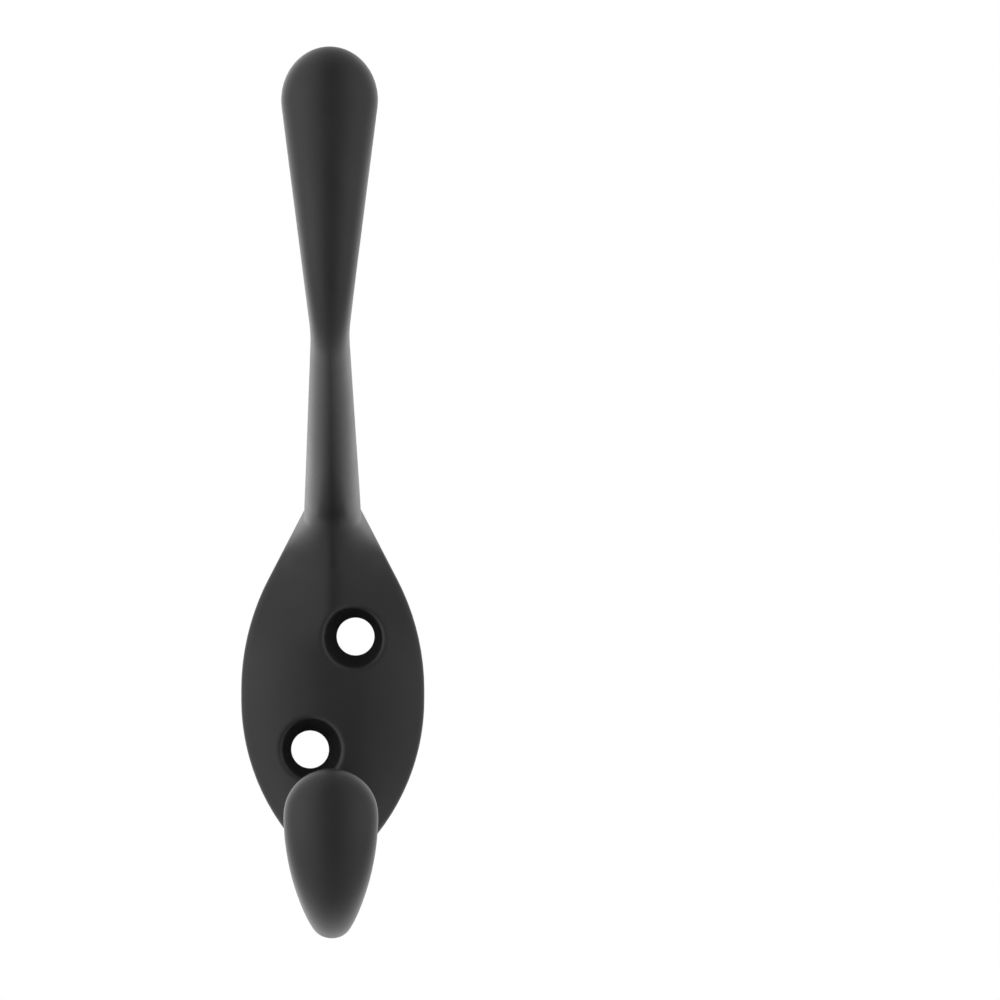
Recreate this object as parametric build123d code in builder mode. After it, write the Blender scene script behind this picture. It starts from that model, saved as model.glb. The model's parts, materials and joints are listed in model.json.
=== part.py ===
"""A cast double hook for coats and hats: a domed leaf-shaped wall plate, an upper arm and a lower hook."""

import os
from math import acos, copysign, cos, degrees, pi, radians, sin, sqrt, tan

from build123d import *

os.makedirs("parts", exist_ok=True)

# Wall plate, seen from the front
plate_half_width = 13.3
plate_top_half_width = 3.4
plate_bottom_half_width = 2.1
flank_angle = 27.5
upper_radius = 35.0
lower_radius = 31.5
widest_from = 0.4
widest_to = -0.9

# Wall plate, thickness: the same all round its edge, more along its middle
edge_thickness = 2.2
crown_thickness = 4.9
crown_radius = 300.0
rim_rounding = 0.6
top_slant_from = 25.2
top_slant = 0.75
bottom_slant_from = -22.6
bottom_slant = 0.7

# Wall plate, where its middle rises into the arm and into the hook
root_softness = 1.0
root_slope = 0.05
arm_root_cross = 24.6
hook_root_cross = -20.5
arch_power = 2.0
arch_power_root = 2.7
arch_root_from = 8.0
ridge_share = 0.9
ridge_half_width = 0.9
ridge_from = 4.0
ridge_full = 12.0
ridge_fades_from = 18.0

# Wall plate, block and grid of its front surface
block_clearance = 5.0
front_margin = 0.8
front_columns = 61
front_rows = 81
front_tolerance = 0.004

# Screw holes, countersunk for oval heads
hole_offset_x = 3.3
hole_offset_z = 8.2
hole_radius = 2.75
countersink_radius = 4.55
countersink_angle = 60.0
sink_rounding = 0.3
sink_above = 1.5

# Upper arm, side view: up out of the plate, leaning forward, then upright
arm_lean = 55.0
arm_start = 13.5
arm_root_depth = 1.0
arm_root_corner = 23.8
arm_root_radius = 18.0
arm_upright_depth = 46.0
arm_bend_radius = 14.0
arm_longest = 200.0

# Upper arm, front view: a neck that narrows to a waist and flares to a round end
arm_end_half_width = 6.9
arm_end_rise = 7.65
arm_end_centre = 85.0
arm_flare_angle = 7.3
neck_foot = 26.4
neck_half_width = 4.12
neck_taper = 0.0547
waist_softness = 0.07

# Upper arm, half depths of its cross-section
arm_half_depth_start = 2.0
arm_half_depth_root = 4.7
arm_half_depth_waist = 3.5
arm_half_depth_end = 4.4
arm_waist_height = 52.0
flare_length = 30.0

# Lower hook, side view: down out of the plate, round a bend and up to a broad round end
hook_start = -14.0
hook_root_depth = 2.4
hook_bend_radius = 12.8
hook_bend_centre = -18.65
hook_end_radius = 6.8
hook_end_centre = -17.3
hook_root_run = hook_start - hook_bend_centre

# Lower hook, half widths and half depths of its cross-section
hook_half_width_root = 3.6
hook_half_width_waist = 3.08
hook_flare = 1.48
hook_half_depth_start = 0.8
hook_half_depth_waist = 3.8
hook_half_depth_end = 4.0

# Cross-sections
section_points_round = 8
section_squareness = 2.3
end_squareness = 2.0
end_step = 15
step_growth = 1.12
longest_step = 3.5


def blend(start, end, share):
    """A smooth step from start to end while share runs from 0 to 1."""
    share = min(max(share, 0.0), 1.0)
    return start + (end - start) * share * share * (3.0 - 2.0 * share)


def oval(depth, height, tilt, half_width, half_depth, squareness):
    """Face inside the oval |x/a|^n + |y/b|^n = 1, across a path that leans forward by tilt degrees."""
    points = []
    for step in range(section_points_round):
        angle = pi / 2 + 2.0 * pi * step / section_points_round
        along_x = copysign(abs(cos(angle)) ** (2.0 / squareness), cos(angle))
        along_y = copysign(abs(sin(angle)) ** (2.0 / squareness), sin(angle))
        points.append((half_width * along_x, half_depth * along_y))
    lean = radians(tilt)
    plane = Plane(origin=(0, -depth, height), x_dir=(1, 0, 0), z_dir=(0, -sin(lean), cos(lean)))
    with BuildSketch(plane, mode=Mode.PRIVATE) as section:
        with BuildLine():
            add(Edge.make_spline(points, periodic=True, parameters=range(len(points) + 1)))
        make_face()
    return section.sketch


def steps_back_from(whole_length, last_step):
    """Places along a path, short steps at its far end and slowly longer ones towards its start."""
    places = []
    place = whole_length - last_step
    step = last_step
    while place > 0:
        places.append(place)
        step = min(step * step_growth, longest_step)
        place = place - step
    places.append(0.0)
    if places[-2] < step / 2:
        places.pop(-2)
    return places[::-1]


def arm_place(length):
    """Depth, height and lean of the upper arm's middle line, this far from its start in the plate."""
    lean = radians(arm_lean)
    root_start = arm_root_corner - arm_root_radius * tan(lean / 2)
    root_run = root_start - arm_start
    root_arc = arm_root_radius * lean
    slope_run = (arm_upright_depth - arm_root_depth) / sin(lean)
    slope_run = slope_run - (arm_root_radius + arm_bend_radius) * tan(lean / 2)
    bend_arc = arm_bend_radius * lean
    if length <= root_run:
        return arm_root_depth, arm_start + length, 0.0
    turn = min((length - root_run) / arm_root_radius, lean)
    depth = arm_root_depth + arm_root_radius * (1 - cos(turn))
    height = root_start + arm_root_radius * sin(turn)
    if length <= root_run + root_arc:
        return depth, height, degrees(turn)
    slope = min(length - root_run - root_arc, slope_run)
    depth = depth + slope * sin(lean)
    height = height + slope * cos(lean)
    if length <= root_run + root_arc + slope_run:
        return depth, height, arm_lean
    turn = lean - min((length - root_run - root_arc - slope_run) / arm_bend_radius, lean)
    depth = depth + arm_bend_radius * (cos(turn) - cos(lean))
    height = height + arm_bend_radius * (sin(lean) - sin(turn))
    upright = max(length - root_run - root_arc - slope_run - bend_arc, 0.0)
    return depth, height + upright, degrees(turn)


def arm_half_width(height):
    """Half width of the arm: the larger of the neck line and the flare line, softly joined at the waist."""
    neck = neck_half_width - neck_taper * max(height - neck_foot, 0.0)
    flare_angle = radians(arm_flare_angle)
    flare = sqrt(arm_end_half_width**2 + (arm_end_rise * tan(flare_angle)) ** 2)
    flare = flare - (arm_end_centre - height) * tan(flare_angle)
    return (neck + flare) / 2 + sqrt(((neck - flare) / 2) ** 2 + waist_softness**2)


def arm_half_depth(height):
    """Half depth of the arm: growing out of the plate, slimmer at the waist, fuller at the end."""
    if height < neck_foot:
        share = (height - arm_start) / (neck_foot - arm_start)
        return blend(arm_half_depth_start, arm_half_depth_root, share)
    if height < arm_waist_height:
        share = (height - neck_foot) / (arm_waist_height - neck_foot)
        return blend(arm_half_depth_root, arm_half_depth_waist, share)
    share = (height - arm_waist_height) / (arm_end_centre - arm_waist_height)
    return blend(arm_half_depth_waist, arm_half_depth_end, share)


def hook_place(length):
    """Depth, height and lean of the lower hook's middle line, this far from its start in the plate."""
    if length <= hook_root_run:
        return hook_root_depth, hook_start - length, 180.0
    turn = min((length - hook_root_run) / hook_bend_radius, pi)
    upright = max(length - hook_root_run - pi * hook_bend_radius, 0.0)
    depth = hook_root_depth + hook_bend_radius * (1 - cos(turn))
    height = hook_bend_centre - hook_bend_radius * sin(turn) + upright
    return depth, height, 180.0 - degrees(turn)


def hook_size(length):
    """Half width, half depth and squareness of the lower hook: a waist under the bend, then a flare."""
    waist_length = hook_root_run + pi * hook_bend_radius / 2
    whole_length = hook_root_run + pi * hook_bend_radius + hook_end_centre - hook_bend_centre
    if length < waist_length:
        share = length / waist_length
        half_width = blend(hook_half_width_root, hook_half_width_waist, share)
        half_depth = blend(hook_half_depth_start, hook_half_depth_waist, 2.0 * share)
        return half_width, half_depth, section_squareness
    share = (length - waist_length) / (whole_length - waist_length)
    widening = hook_end_radius - hook_half_width_waist
    half_width = hook_half_width_waist + widening * sin(pi / 2 * share) ** hook_flare
    half_depth = blend(hook_half_depth_waist, hook_half_depth_end, share)
    return half_width, half_depth, blend(section_squareness, end_squareness, share)


def arm_front(height):
    """Depth of the arm's front line at this height, found by halving along its middle line."""
    low, high = 0.0, arm_length
    for _ in range(40):
        length = (low + high) / 2
        depth, centre, tilt = arm_place(length)
        half_depth = arm_half_depth(centre)
        if centre - half_depth * sin(radians(tilt)) < height:
            low = length
        else:
            high = length
    return depth + half_depth * cos(radians(tilt))


def hook_front(height):
    """Depth of the lower hook's inner line at this height, found by halving down to its lowest point."""
    low, high = 0.0, hook_root_run + pi * hook_bend_radius / 2
    for _ in range(40):
        length = (low + high) / 2
        depth, centre, tilt = hook_place(length)
        half_depth = hook_size(length)[1]
        if centre + half_depth * sin(radians(tilt)) > height:
            low = length
        else:
            high = length
    return depth - half_depth * cos(radians(tilt))


def plate_reach(z):
    """Half width of the leaf outline at this height: flank line, upper arc, widest part and lower arc."""
    if z > flank_foot_z:
        return flank_foot_x - (z - flank_foot_z) * tan(flank)
    if z > widest_from:
        return plate_half_width - upper_radius + sqrt(upper_radius**2 - (z - widest_from) ** 2)
    if z > widest_to:
        return plate_half_width
    return plate_half_width - lower_radius + sqrt(lower_radius**2 - (widest_to - z) ** 2)


def softly_larger(first, second):
    """The larger of two heights, rounded off over root_softness where they meet."""
    share = min(max(0.5 + (first - second) / (2 * root_softness), 0.0), 1.0)
    return second + (first - second) * share + root_softness * share * (1 - share)


def plate_crown(z):
    """Height of the plate's middle: a low dome that rises into the arm at its top and into the hook below."""
    crown = crown_thickness - z * z / (2 * crown_radius)
    if z > arm_start:
        return softly_larger(crown, arm_front(z) + root_slope * (arm_root_cross - z))
    if z < hook_start:
        return softly_larger(crown, hook_front(z) + root_slope * (z - hook_root_cross))
    return crown


def plate_height(x, z):
    """Height of the plate's front: an arch from edge to edge, which turns to a soft roof towards its top."""
    across = abs(x) / plate_reach(z)
    power = blend(arch_power, arch_power_root, (abs(z) - arch_root_from) / (arm_root_cross - arch_root_from))
    arch = across**power
    edge_reach = sqrt(plate_reach(z) ** 2 + ridge_half_width**2) - ridge_half_width
    ridge = (sqrt(x * x + ridge_half_width**2) - ridge_half_width) / edge_reach
    roof = blend(0.0, ridge_share, (z - ridge_from) / (ridge_full - ridge_from))
    roof = roof * blend(1.0, 0.0, (z - ridge_fades_from) / (arm_root_cross - ridge_fades_from))
    fall = arch + (ridge - arch) * roof
    return edge_thickness + (plate_crown(z) - edge_thickness) * (1 - fall)


# Sizes that follow from those above
flank = radians(flank_angle)
flank_foot_x = plate_half_width - upper_radius * (1 - cos(flank))
flank_foot_z = widest_from + upper_radius * sin(flank)
plate_top = flank_foot_z + (flank_foot_x - plate_top_half_width) / tan(flank)
bottom_turn = acos(1 - (plate_half_width - plate_bottom_half_width) / lower_radius)
plate_bottom = widest_to - lower_radius * sin(bottom_turn)
arm_length = arm_end_centre - arm_place(arm_longest)[1] + arm_longest
front_low = plate_bottom - front_margin
front_high = plate_top + front_margin
plate_block = plate_crown(front_high) + block_clearance


# The hook is one casting
with BuildPart() as garment_hook:
    # Plate: the leaf outline, extruded and cut off at its domed and ridged front
    with BuildSketch(Plane.XZ):
        with BuildLine():
            Line((0, plate_top), (plate_top_half_width, plate_top))
            Line((plate_top_half_width, plate_top), (flank_foot_x, flank_foot_z))
            RadiusArc((flank_foot_x, flank_foot_z), (plate_half_width, widest_from), upper_radius)
            Line((plate_half_width, widest_from), (plate_half_width, widest_to))
            RadiusArc((plate_half_width, widest_to), (plate_bottom_half_width, plate_bottom), lower_radius)
            Line((plate_bottom_half_width, plate_bottom), (0, plate_bottom))
            Line((0, plate_bottom), (0, plate_top))
        make_face()
        mirror(about=Plane.YZ)
    extrude(amount=plate_block)
    front_points = []
    for column in range(front_columns):
        line = []
        for row in range(front_rows):
            z = front_low + (front_high - front_low) * row / (front_rows - 1)
            x = (plate_reach(z) + front_margin) * (2 * column / (front_columns - 1) - 1)
            line.append(Vector(x, -plate_height(x, z), z))
        front_points.append(line)
    front_surface = Face.make_surface_from_array_of_points(front_points, tol=front_tolerance)
    split(bisect_by=front_surface, keep=Keep.BOTTOM)
    front = garment_hook.faces().filter_by(GeomType.BSPLINE)[0]
    rim = front.edges().filter_by(lambda edge: abs(edge.position_at(0.5).X) > plate_top_half_width / 2)
    fillet(rim, radius=rim_rounding)

    # Ends of the plate: slanted off behind the arm and behind the hook
    with BuildSketch(Plane.YZ):
        Polygon(
            (1, top_slant_from - top_slant),
            (-plate_block, top_slant_from + top_slant * plate_block),
            (1, top_slant_from + top_slant * plate_block),
            align=None,
        )
        Polygon(
            (1, bottom_slant_from + bottom_slant),
            (-plate_block, bottom_slant_from - bottom_slant * plate_block),
            (1, bottom_slant_from - bottom_slant * plate_block),
            align=None,
        )
    extrude(amount=plate_half_width, both=True, mode=Mode.SUBTRACT)

    # Screw holes: bores from the back face, countersunk into the dome
    sink_slope = tan(radians(countersink_angle / 2))
    crown_at_hole = plate_height(hole_offset_x, hole_offset_z)
    sink_start = crown_at_hole - (countersink_radius - hole_radius) / sink_slope
    sink_end = crown_at_hole + sink_above
    sink_end_radius = hole_radius + (sink_end - sink_start) * sink_slope
    for side in (1, -1):
        hole_plane = Plane(
            origin=(side * hole_offset_x, 0, side * hole_offset_z), x_dir=(1, 0, 0), z_dir=(0, 0, 1)
        )
        with BuildSketch(hole_plane):
            Polygon(
                (0, 1),
                (hole_radius, 1),
                (hole_radius, -sink_start),
                (sink_end_radius, -sink_end),
                (0, -sink_end),
                align=None,
            )
        revolve(axis=Axis(hole_plane.origin, (0, 1, 0)), revolution_arc=360, mode=Mode.SUBTRACT)
    sinks = garment_hook.faces().filter_by(GeomType.CONE)
    fillet([sink.edges().sort_by(Axis.Y)[0] for sink in sinks], radius=sink_rounding)

    # Upper arm: ovals across its middle line, closed at the round end
    arm_sections = []
    for length in steps_back_from(arm_length, arm_end_rise * radians(end_step)):
        depth, height, tilt = arm_place(length)
        squareness = blend(section_squareness, end_squareness, (height - arm_waist_height) / flare_length)
        half_width = arm_half_width(height)
        half_depth = arm_half_depth(height)
        arm_sections.append(oval(depth, height, tilt, half_width, half_depth, squareness))
    for latitude in range(0, 90, end_step):
        rise = arm_end_rise * sin(radians(latitude))
        size = cos(radians(latitude))
        arm_sections.append(
            oval(
                arm_upright_depth,
                arm_end_centre + rise,
                0,
                arm_end_half_width * size,
                arm_half_depth_end * size,
                end_squareness,
            )
        )
    arm_sections.append(Vertex(0, -arm_upright_depth, arm_end_centre + arm_end_rise))
    loft(arm_sections, clean=False)

    # Lower hook: ovals round its bend, closed at the broad end
    hook_sections = []
    hook_depth = hook_root_depth + 2 * hook_bend_radius
    hook_length = hook_root_run + pi * hook_bend_radius + (hook_end_centre - hook_bend_centre)
    for length in steps_back_from(hook_length, hook_end_radius * radians(end_step)):
        depth, height, tilt = hook_place(length)
        hook_sections.append(oval(depth, height, tilt, *hook_size(length)))
    for latitude in range(0, 90, end_step):
        rise = hook_end_radius * sin(radians(latitude))
        size = cos(radians(latitude))
        hook_sections.append(
            oval(
                hook_depth,
                hook_end_centre + rise,
                0,
                hook_end_radius * size,
                hook_half_depth_end * size,
                end_squareness,
            )
        )
    hook_sections.append(Vertex(0, -hook_depth, hook_end_centre + hook_end_radius))
    loft(hook_sections, clean=False)

    # Back: everything behind the wall plane is cut away flat
    with BuildSketch(Plane.XZ):
        Rectangle(4 * plate_half_width, 4 * arm_end_centre)
    extrude(amount=-plate_block, mode=Mode.SUBTRACT)

print("volume", garment_hook.part.volume, "box", garment_hook.part.bounding_box())
print("valid", garment_hook.part.is_valid, "solids", len(garment_hook.part.solids()))
garment_hook.part.label = "garment_hook"
export_step(garment_hook.part, "parts/garment_hook.step")
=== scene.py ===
# %% [markdown]
# A garment hook for a wall or a door: one casting with a domed leaf-shaped plate, a long upper
# arm for a hat and a short lower hook for a coat. The casting is finished in a satin black coat.
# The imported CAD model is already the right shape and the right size, so Blender brings
# what CAD can't: the finish, the light and the photograph's viewpoint.

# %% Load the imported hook
import json

import bpy
import numpy as np
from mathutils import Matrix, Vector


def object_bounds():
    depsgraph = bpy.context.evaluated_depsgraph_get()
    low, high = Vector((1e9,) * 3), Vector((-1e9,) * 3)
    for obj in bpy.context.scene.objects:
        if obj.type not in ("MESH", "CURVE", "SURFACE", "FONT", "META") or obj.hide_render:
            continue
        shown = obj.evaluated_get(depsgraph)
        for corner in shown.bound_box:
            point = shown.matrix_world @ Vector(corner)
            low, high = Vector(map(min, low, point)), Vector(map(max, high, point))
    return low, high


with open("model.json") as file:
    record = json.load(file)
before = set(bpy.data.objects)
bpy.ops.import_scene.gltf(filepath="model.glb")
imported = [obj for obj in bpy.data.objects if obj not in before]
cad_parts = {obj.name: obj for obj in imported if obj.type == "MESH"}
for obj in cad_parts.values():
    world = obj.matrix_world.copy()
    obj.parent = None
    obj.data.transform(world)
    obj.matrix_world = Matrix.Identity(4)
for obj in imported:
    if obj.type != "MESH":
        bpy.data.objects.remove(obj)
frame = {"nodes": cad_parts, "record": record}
cad_low, cad_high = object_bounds()
hook = frame["nodes"]["garment_hook"]
print("hook box in metres", list(cad_low), list(cad_high), "triangles", len(hook.data.polygons))

# %% [markdown]
# The hook's mesh comes from CAD as loose triangles. Smooth shading follows the normals that came
# with them, so the round arms read as round, and the edges of the plate and of the screw holes
# stay crisp. Only how the triangles are shaded is looked at here, never where they are.

# %% Look at the shading of the mesh
smooth_faces = np.zeros(len(hook.data.polygons), bool)
hook.data.polygons.foreach_get("use_smooth", smooth_faces)
print("smooth faces", int(smooth_faces.sum()), "own normals", hook.data.has_custom_normals)

# %% [markdown]
# The finish is a baked black coat. It could be one dark colour with one roughness, but a real
# coat is never that even: it has flowed a little in the oven, which leaves a very fine orange
# peel, and it is a touch glossier in some places than in others. Three noise textures of
# different sizes give that: a fine one for the bump, a coarse one for the gloss and a
# middle one for the depth of the black. They read Object coordinates, in metres, so that the grain has
# its real size.

# %% Helpers for nodes
noise_middle_low = 0.35
noise_middle_high = 0.65


def add_node(tree, kind, **settings):
    """Adds one node and sets the named properties on it."""
    node = tree.nodes.new(kind)
    for name, setting in settings.items():
        setattr(node, name, setting)
    return node


def add_noise(tree, coordinates, grain_size, detail):
    """Noise whose grains are about grain_size metres wide: the scale is one over that size."""
    noise = add_node(tree, "ShaderNodeTexNoise")
    noise.inputs["Scale"].default_value = 1.0 / grain_size
    noise.inputs["Detail"].default_value = detail
    tree.links.new(coordinates, noise.inputs["Vector"])
    return noise.outputs["Fac"]


def spread(tree, value, low, high):
    """Stretches the middle of a noise, where most of its values lie, over the range from low to high."""
    stretch = add_node(tree, "ShaderNodeMapRange")
    stretch.inputs["From Min"].default_value = noise_middle_low
    stretch.inputs["From Max"].default_value = noise_middle_high
    stretch.inputs["To Min"].default_value = low
    stretch.inputs["To Max"].default_value = high
    tree.links.new(value, stretch.inputs["Value"])
    return stretch.outputs["Result"]


# %% Depth of the black
tone_grain = 0.005
tone_detail = 3.0
black_deep = (0.0070, 0.0070, 0.0074, 1.0)
black_light = (0.0092, 0.0092, 0.0097, 1.0)
coat_ior = 1.5

coat = bpy.data.materials.new("satin_black_coat")
coat.use_nodes = True
coat_tree = coat.node_tree
coat_shader = coat_tree.nodes["Principled BSDF"]
coat_shader.inputs["IOR"].default_value = coat_ior
coat_place = add_node(coat_tree, "ShaderNodeTexCoord").outputs["Object"]

tone = spread(coat_tree, add_noise(coat_tree, coat_place, tone_grain, tone_detail), 0.0, 1.0)
black = add_node(coat_tree, "ShaderNodeMix", data_type="RGBA")
black.inputs["A"].default_value = black_deep
black.inputs["B"].default_value = black_light
coat_tree.links.new(tone, black.inputs["Factor"])
coat_tree.links.new(black.outputs["Result"], coat_shader.inputs["Base Color"])
print("blacks from", black_deep[:3], "to", black_light[:3])

# %% Gloss that changes from place to place
gloss_grain = 0.012
gloss_detail = 2.0
gloss_low = 0.34
gloss_high = 0.40

gloss_noise = add_noise(coat_tree, coat_place, gloss_grain, gloss_detail)
gloss = spread(coat_tree, gloss_noise, gloss_low, gloss_high)
coat_tree.links.new(gloss, coat_shader.inputs["Roughness"])
print("roughness from", gloss_low, "to", gloss_high)

# %% [markdown]
# A wet coat gathers in the corners, so the line where the arm rises out of the plate looks soft, and
# so do the rims of the holes. The corners could be rounded in the mesh, but that stays as CAD made
# it. A Bevel node rounds only the shading there, and the orange peel is laid over that.

# %% Soft corners and orange peel
corner_flow = 0.0012
corner_samples = 8
peel_grain = 0.0009
peel_detail = 2.0
peel_height = 0.000004

soft_corner = add_node(coat_tree, "ShaderNodeBevel", samples=corner_samples)
soft_corner.inputs["Radius"].default_value = corner_flow

peel = add_node(coat_tree, "ShaderNodeBump")
peel.inputs["Strength"].default_value = 1.0
peel.inputs["Distance"].default_value = peel_height
coat_tree.links.new(soft_corner.outputs["Normal"], peel.inputs["Normal"])
coat_tree.links.new(add_noise(coat_tree, coat_place, peel_grain, peel_detail), peel.inputs["Height"])
coat_tree.links.new(peel.outputs["Normal"], coat_shader.inputs["Normal"])

hook.data.materials.clear()
hook.data.materials.append(coat)
print("coat nodes", len(coat_tree.nodes))

# %% [markdown]
# The photograph looks straight at the wall, from far away: the lines of the hook hardly converge.
# A long lens at about two and a third metres gives that. The hook sits left of the middle
# of the picture, so the camera stands to the right of it, and no shift is needed.

# %% Camera
camera_distance = 2.3585
camera_right = 0.02428
camera_height = 0.02803
view_width = 0.14514
view_plane = 2.356
sensor = 36.0
nearest_seen = 0.1
farthest_seen = 20.0
level_view = np.pi / 2

camera_data = bpy.data.cameras.new("camera")
camera_data.sensor_width = sensor
camera_data.lens = sensor * view_plane / view_width
camera_data.clip_start = nearest_seen
camera_data.clip_end = farthest_seen
camera = bpy.data.objects.new("camera", camera_data)
camera.location = (camera_right, -camera_distance, camera_height)
camera.rotation_euler = (level_view, 0.0, 0.0)
bpy.context.scene.collection.objects.link(camera)
bpy.context.scene.camera = camera
print("lens in millimetres", camera_data.lens)

# %% [markdown]
# A black satin thing shows its surroundings more than its own colour. Photographers stand it in a
# white tent with a gap for the camera: the sides of the arms pick up the white walls,
# and a dark band runs down the middle where the gap is. The world here is that tent. It has a
# dim overall level, a bright left wall, a less bright right wall, a white back wall, and a little light
# from above and below. Each fades in softly over a range of directions, and the side walls
# lose some light towards the floor. The camera itself sees plain white behind the hook.

# %% Helpers for the tent
world = bpy.data.worlds.new("tent")
bpy.context.scene.world = world
world.use_nodes = True
tent = world.node_tree
tent_light = tent.nodes["Background"]


def combine(operation, first, second):
    """One step of arithmetic on two values, each an output or a number."""
    step = add_node(tent, "ShaderNodeMath", operation=operation)
    for place, value in enumerate((first, second)):
        if isinstance(value, (int, float)):
            step.inputs[place].default_value = value
        else:
            tent.links.new(value, step.inputs[place])
    return step.outputs["Value"]


def soft_wall(towards, start, end, strength):
    """A smooth step from 0 to strength while the direction's part towards the wall goes from start to end."""
    rise = add_node(tent, "ShaderNodeMapRange", interpolation_type="SMOOTHSTEP")
    rise.inputs["From Min"].default_value = start
    rise.inputs["From Max"].default_value = end
    rise.inputs["To Max"].default_value = strength
    tent.links.new(towards, rise.inputs["Value"])
    return rise.outputs["Result"]


direction = add_node(tent, "ShaderNodeSeparateXYZ")
tent.links.new(add_node(tent, "ShaderNodeTexCoord").outputs["Generated"], direction.inputs["Vector"])
right, behind, above = direction.outputs
left = combine("MULTIPLY", right, -1.0)
below = combine("MULTIPLY", above, -1.0)

# %% Side walls
left_wall = 0.9
left_from = 0.02
left_to = 0.60
right_wall = 0.6
right_from = 0.10
right_to = 0.70
side_loss = 0.38
loss_from = 0.2
loss_to = 0.9

sides = combine(
    "ADD",
    soft_wall(left, left_from, left_to, left_wall),
    soft_wall(right, right_from, right_to, right_wall),
)
side_share = combine("SUBTRACT", 1.0, soft_wall(below, loss_from, loss_to, side_loss))
sides = combine("MULTIPLY", sides, side_share)
print("side walls", left_wall, right_wall)

# %% Gap, back wall, and light from below and above
gap_level = 0.30
back_wall = 0.70
back_from = -0.2
back_to = 0.8
low_wall = 0.18
low_from = 0.3
low_to = 0.95
top_wall = 0.35
top_from = 0.8
top_to = 1.0

tent_value = combine("ADD", sides, gap_level)
tent_value = combine("ADD", soft_wall(behind, back_from, back_to, back_wall), tent_value)
tent_value = combine("ADD", soft_wall(below, low_from, low_to, low_wall), tent_value)
tent_value = combine("ADD", soft_wall(above, top_from, top_to, top_wall), tent_value)
print("level straight behind the hook", gap_level + back_wall)

# %% White for the camera
background_level = 1.0
white = (1.0, 1.0, 1.0, 1.0)

seen = add_node(tent, "ShaderNodeLightPath")
level = add_node(tent, "ShaderNodeMix", data_type="FLOAT")
tent.links.new(seen.outputs["Is Camera Ray"], level.inputs["Factor"])
tent.links.new(tent_value, level.inputs["A"])
level.inputs["B"].default_value = background_level
tent.links.new(level.outputs["Result"], tent_light.inputs["Strength"])
tent_light.inputs["Color"].default_value = white
print("tent nodes", len(tent.nodes))

# %% [markdown]
# Two soft lamps stand in the side walls of the tent, one on each side. The left one is
# the stronger, as its wall is, which makes the left half of the plate lighter than the right half.

# %% Soft lamps
lamp_side = 1.1
lamp_front = -0.75
lamp_height = 0.15
lamp_width = 0.7
lamp_tall = 0.8
left_watts = 0.57
right_watts = 0.29


def soft_lamp(name, side, watts):
    """A rectangular lamp this far to the side, which faces the middle of the hook."""
    lamp_data = bpy.data.lights.new(name, "AREA")
    lamp_data.shape = "RECTANGLE"
    lamp_data.size = lamp_width
    lamp_data.size_y = lamp_tall
    lamp_data.energy = watts
    lamp = bpy.data.objects.new(name, lamp_data)
    lamp.location = (side, lamp_front, lamp_height)
    aim = (cad_low + cad_high) / 2 - lamp.location
    lamp.rotation_euler = aim.to_track_quat("-Z", "Y").to_euler()
    bpy.context.scene.collection.objects.link(lamp)
    return lamp


left_lamp = soft_lamp("left_lamp", -lamp_side, left_watts)
right_lamp = soft_lamp("right_lamp", lamp_side, right_watts)
print("lamps", left_lamp.name, right_lamp.name)

# %% [markdown]
# Some surfaces round the hook are meant for one kind of ray only. A Mix Shader can choose by that: the
# Light Path node says whether a ray is a gleam on the coat, which Blender calls a glossy ray.

# %% Choose by the kind of ray
def choose_by_gleam(tree, plain, gleam):
    """Shows one shader to the gleams on the coat, which are glossy rays, and another to all other rays."""
    choice = add_node(tree, "ShaderNodeMixShader")
    tree.links.new(add_node(tree, "ShaderNodeLightPath").outputs["Is Glossy Ray"], choice.inputs[0])
    tree.links.new(plain.outputs["BSDF"], choice.inputs[1])
    tree.links.new(gleam.outputs["BSDF"], choice.inputs[2])
    tree.links.new(choice.outputs["Shader"], tree.nodes["Material Output"].inputs["Surface"])


def hidden_from_gleams(tree, shader):
    """A surface that the coat doesn't reflect."""
    choose_by_gleam(tree, shader, add_node(tree, "ShaderNodeBsdfTransparent"))


def seen_only_in_gleams(tree, shader):
    """A surface that only the coat's reflections meet."""
    choose_by_gleam(tree, add_node(tree, "ShaderNodeBsdfTransparent"), shader)


def stage_material(name, colour, roughness, ray_choice):
    """A plain finish for a thing round the hook, with one of the two choices above."""
    material = bpy.data.materials.new(name)
    material.use_nodes = True
    shader = material.node_tree.nodes["Principled BSDF"]
    shader.inputs["Base Color"].default_value = colour
    shader.inputs["Roughness"].default_value = roughness
    ray_choice(material.node_tree, shader)
    return material


def stage_piece(name, points, faces, material):
    """A mesh for a thing round the hook, which isn't part of the hook."""
    mesh = bpy.data.meshes.new(name)
    mesh.from_pydata(points.reshape(-1, 3).tolist(), [], faces.tolist())
    mesh.materials.append(material)
    piece = bpy.data.objects.new(name, mesh)
    bpy.context.scene.collection.objects.link(piece)
    return piece


# %% [markdown]
# The hook hangs on a wall, so the floor lies well below it. It is a plain pale sheet that
# catches the hook's soft shadow and shows when the hook is looked at from above. To the gleams on the
# black coat it is clear, so that the underside of the arms shows the tent's walls there.

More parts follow.
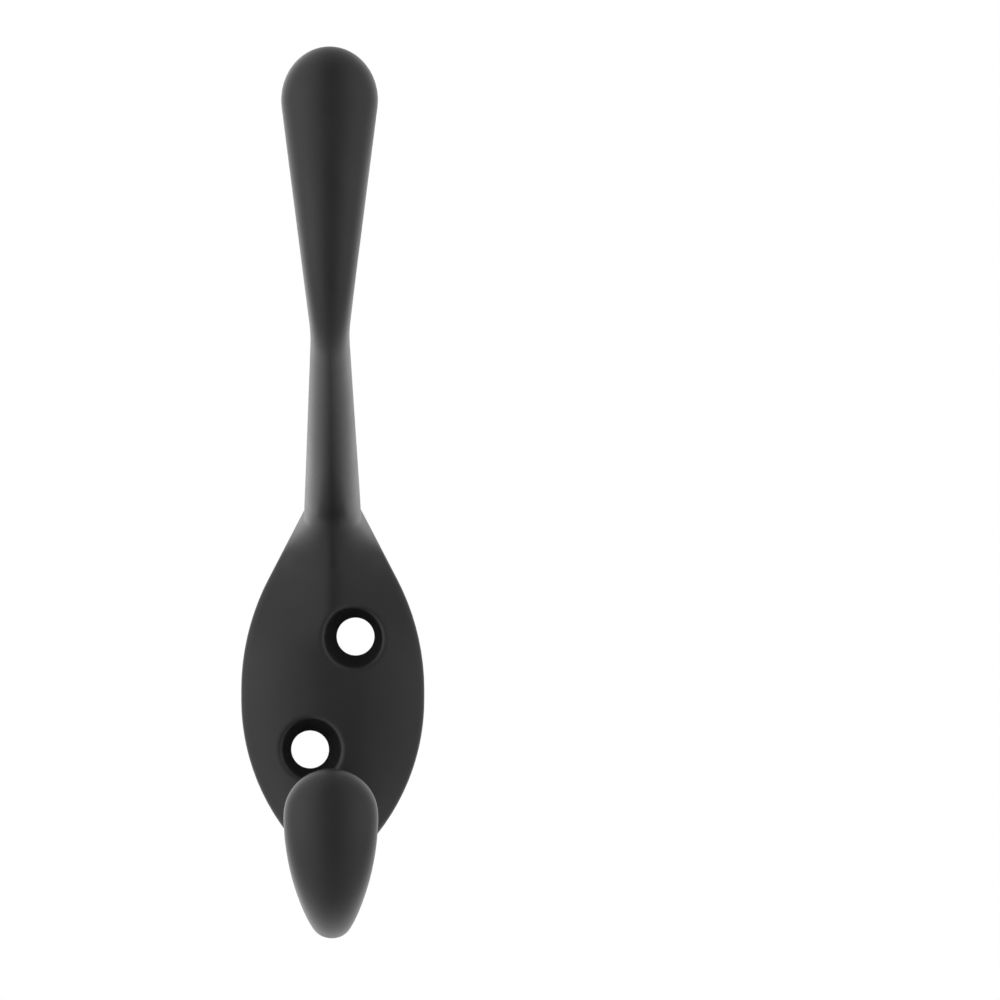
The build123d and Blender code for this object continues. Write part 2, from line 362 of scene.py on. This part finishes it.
# %% Floor
floor_drop = 0.45
floor_reach = 6.0
floor_colour = (0.86, 0.86, 0.86, 1.0)
floor_roughness = 0.8


def floor_grid():
    """Corners of a level square: minus and plus the reach along both ways, at one height."""
    reach = np.array([-floor_reach, floor_reach])
    across, along = np.meshgrid(reach, reach)
    return np.stack([across, along, np.full_like(across, cad_low.z - floor_drop)], axis=-1)


pale = stage_material("pale_floor", floor_colour, floor_roughness, hidden_from_gleams)
floor_face = np.array([[0, 1, 3, 2]])
floor = stage_piece("floor", floor_grid(), floor_face, pale)
print("floor at", cad_low.z - floor_drop)

# %% [markdown]
# On a wall, the screw holes end on the wall, in the dark. Here the bright back of the tent would shine
# through them and light the countersinks from behind. Two thin black discs are painted shade for that
# dark wall. They lie in the plane of the wall and are just as wide as the holes. They block no light: only
# the gleams on the coat meet them, so the countersinks show a painted dark reflection. The camera looks
# through them, so the holes show the white behind the hook.

# %% Painted shade discs behind the screw holes
hole_right = np.array([0.0033, -0.0033])
hole_up = np.array([0.0082, -0.0082])
screw_holes = next(mount for mount in frame["record"]["mounts"] if mount["name"] == "screw_holes")
shade_disc_radius = screw_holes["dims"]["hole_r_mm"] / 1000
shade_disc_corners = 48
# painted shade: this black stands in for the shaded wall behind the screw holes, and only the coat's
# reflections see it
painted_shade_colour = (0.01, 0.01, 0.01, 1.0)
shade_disc_roughness = 0.9


def shade_disc_rings():
    """Corners of both discs: each hole's centre plus the radius times the cosine and sine of a turn."""
    turn = np.linspace(0.0, 2 * np.pi, shade_disc_corners, endpoint=False)
    across = hole_right[:, None] + shade_disc_radius * np.cos(turn)
    up = hole_up[:, None] + shade_disc_radius * np.sin(turn)
    return np.stack([across, np.full_like(across, cad_high.y), up], axis=-1)


# the discs are painted shade, a dark sheet where the wall would lie in shadow behind the holes
painted_shade_black = stage_material("painted_shade_black", painted_shade_colour, shade_disc_roughness, seen_only_in_gleams)
shade_disc_faces = np.arange(hole_right.size * shade_disc_corners).reshape(hole_right.size, shade_disc_corners)
painted_shade_discs = stage_piece("painted_shade_discs", shade_disc_rings(), shade_disc_faces, painted_shade_black)
print("flags behind", hole_right.size, "holes")

# %% [markdown]
# The picture keeps Blender's Standard view, so that a colour comes out as it is written. Nothing
# here adds to the hook's shape.

# %% Picture settings
bpy.context.scene.view_settings.view_transform = "Standard"
bpy.context.view_layer.update()
